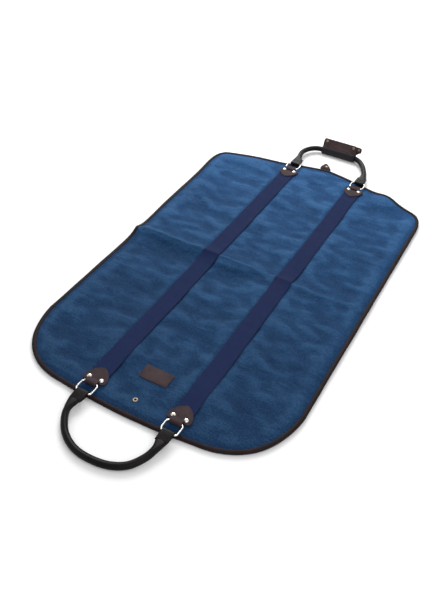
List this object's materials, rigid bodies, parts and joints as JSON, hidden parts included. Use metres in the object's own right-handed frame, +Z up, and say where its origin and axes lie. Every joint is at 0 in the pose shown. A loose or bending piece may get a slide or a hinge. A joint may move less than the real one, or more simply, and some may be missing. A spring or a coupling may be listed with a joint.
{
  "type": "garment bag",
  "caption": "Zipped garment carrier lying flat: shouldered canvas body that folds across its middle, webbing straps, ring-hung rolled handles, snap handle wrap.",
  "frame": {"origin": "on the floor under the middle of the whole bag with its handles", "axes": "+Z up, out of the back face; +Y towards the shoulders along the bag; +X across it"},
  "size_m": [0.602, 1.2525, 0.0441],
  "materials": {
    "canvas": "waxed, mottled, matt",
    "trim_leather": "oiled, satin, worn edges",
    "handle_leather": "rolled, satin",
    "webbing": "ribbed weave, matt",
    "zip_tape": "fine twill, matt",
    "nickel": "polished",
    "antique_brass": "aged, satin"
  },
  "bodies": {
    "near_half": {"near_back_panel": "canvas", "near_front_panel_left": "canvas", "near_front_panel_right": "canvas", "near_binding": "trim_leather", "near_left_strap": "webbing", "near_right_strap": "webbing", "near_left_chape": "trim_leather", "near_right_chape": "trim_leather", "near_left_rivet_outer": "nickel", "near_left_rivet_inner": "nickel", "near_right_rivet_outer": "nickel", "near_right_rivet_inner": "nickel", "near_zip_tape_left": "zip_tape", "near_zip_tape_right": "zip_tape", "near_zip_stop": "nickel", "hem_eyelet": "antique_brass", "label_patch": "trim_leather"},
    "far_half": {"far_back_panel": "canvas", "far_front_panel_left": "canvas", "far_front_panel_right": "canvas", "far_binding": "trim_leather", "far_left_strap": "webbing", "far_right_strap": "webbing", "far_left_chape": "trim_leather", "far_right_chape": "trim_leather", "far_left_rivet_outer": "nickel", "far_left_rivet_inner": "nickel", "far_right_rivet_outer": "nickel", "far_right_rivet_inner": "nickel", "far_zip_tape_left": "zip_tape", "far_zip_tape_right": "zip_tape", "far_zip_stop": "nickel"},
    "near_left_ring": {"near_left_ring": "nickel"},
    "near_right_ring": {"near_right_ring": "nickel"},
    "near_handle": {"near_handle": "handle_leather"},
    "near_zip_slider": {"near_zip_slider": "nickel"},
    "near_zip_pull": {"near_zip_pull": "nickel"},
    "far_left_ring": {"far_left_ring": "nickel"},
    "far_right_ring": {"far_right_ring": "nickel"},
    "far_handle": {"far_handle": "handle_leather"},
    "far_zip_slider": {"far_zip_slider": "nickel"},
    "far_zip_pull": {"far_zip_pull": "nickel"},
    "wrap_saddle": {"wrap_saddle": "handle_leather"},
    "wrap_near_flap": {"wrap_near_flap": "trim_leather", "wrap_near_stud_left": "antique_brass", "wrap_near_stud_right": "antique_brass"},
    "wrap_far_flap": {"wrap_far_flap": "trim_leather", "wrap_far_stud_left": "antique_brass", "wrap_far_stud_right": "antique_brass"},
    "hanger_tab": {"hanger_tab": "trim_leather", "hanger_tab_stud": "antique_brass"}
  },
  "joints": [
    {"name": "fold_hinge", "type": "hinge", "parent": "near_half", "child": "far_half", "pos_m": [0, -0.0056, -0.0006], "axis": [-1, 0, 0], "range_deg": [0, 175]},
    {"name": "near_left_ring_hinge", "type": "hinge", "parent": "near_half", "child": "near_left_ring", "pos_m": [-0.091, -0.4791, 0.016], "axis": [-1, 0, 0], "range_deg": [0, 95]},
    {"name": "near_right_ring_hinge", "type": "hinge", "parent": "near_half", "child": "near_right_ring", "pos_m": [0.1, -0.4791, 0.016], "axis": [-1, 0, 0], "range_deg": [0, 95]},
    {"name": "near_handle_hinge", "type": "hinge", "parent": "near_left_ring", "child": "near_handle", "pos_m": [-0.091, -0.5051, 0.016], "axis": [-1, 0, 0], "range_deg": [-3, 78]},
    {"name": "far_left_ring_hinge", "type": "hinge", "parent": "far_half", "child": "far_left_ring", "pos_m": [-0.091, 0.4569, 0.016], "axis": [1, 0, 0], "range_deg": [0, 95]},
    {"name": "far_right_ring_hinge", "type": "hinge", "parent": "far_half", "child": "far_right_ring", "pos_m": [0.1, 0.4569, 0.016], "axis": [1, 0, 0], "range_deg": [0, 95]},
    {"name": "far_handle_hinge", "type": "hinge", "parent": "far_left_ring", "child": "far_handle", "pos_m": [-0.091, 0.4829, 0.016], "axis": [1, 0, 0], "range_deg": [-3, 78]},
    {"name": "wrap_turn", "type": "hinge", "parent": "far_handle", "child": "wrap_saddle", "pos_m": [-0.0095, 0.6098, 0.012], "axis": [1, 0, 0], "range_deg": [-25, 30]},
    {"name": "wrap_near_flap_hinge", "type": "hinge", "parent": "wrap_saddle", "child": "wrap_near_flap", "pos_m": [-0.0095, 0.61101, 0.02434], "axis": [1, 0, 0], "range_deg": [0, 70]},
    {"name": "wrap_far_flap_hinge", "type": "hinge", "parent": "wrap_saddle", "child": "wrap_far_flap", "pos_m": [-0.0095, 0.61953, 0.01969], "axis": [-1, 0, 0], "range_deg": [0, 60]},
    {"name": "hanger_tab_hinge", "type": "hinge", "parent": "far_half", "child": "hanger_tab", "pos_m": [-0.011, 0.5156, 0.0109], "axis": [1, 0, 0], "range_deg": [-60, 80]},
    {"name": "near_zip_slide", "type": "slide", "parent": "near_half", "child": "near_zip_slider", "axis": [0, -1, 0], "range_m": [0, 0.42]},
    {"name": "near_zip_pull_hinge", "type": "hinge", "parent": "near_zip_slider", "child": "near_zip_pull", "pos_m": [0, -0.0231, 0.0009], "axis": [1, 0, 0], "range_deg": [0, 110]},
    {"name": "far_zip_slide", "type": "slide", "parent": "far_half", "child": "far_zip_slider", "axis": [0, 1, 0], "range_m": [0, 0.36]},
    {"name": "far_zip_pull_hinge", "type": "hinge", "parent": "far_zip_slider", "child": "far_zip_pull", "pos_m": [0, 0.0119, 0.0009], "axis": [-1, 0, 0], "range_deg": [0, 110]}
  ],
  "couplings": [
    {"joint": "near_right_ring_hinge", "follows": "near_left_ring_hinge", "ratio": 1},
    {"joint": "far_right_ring_hinge", "follows": "far_left_ring_hinge", "ratio": 1}
  ]
}
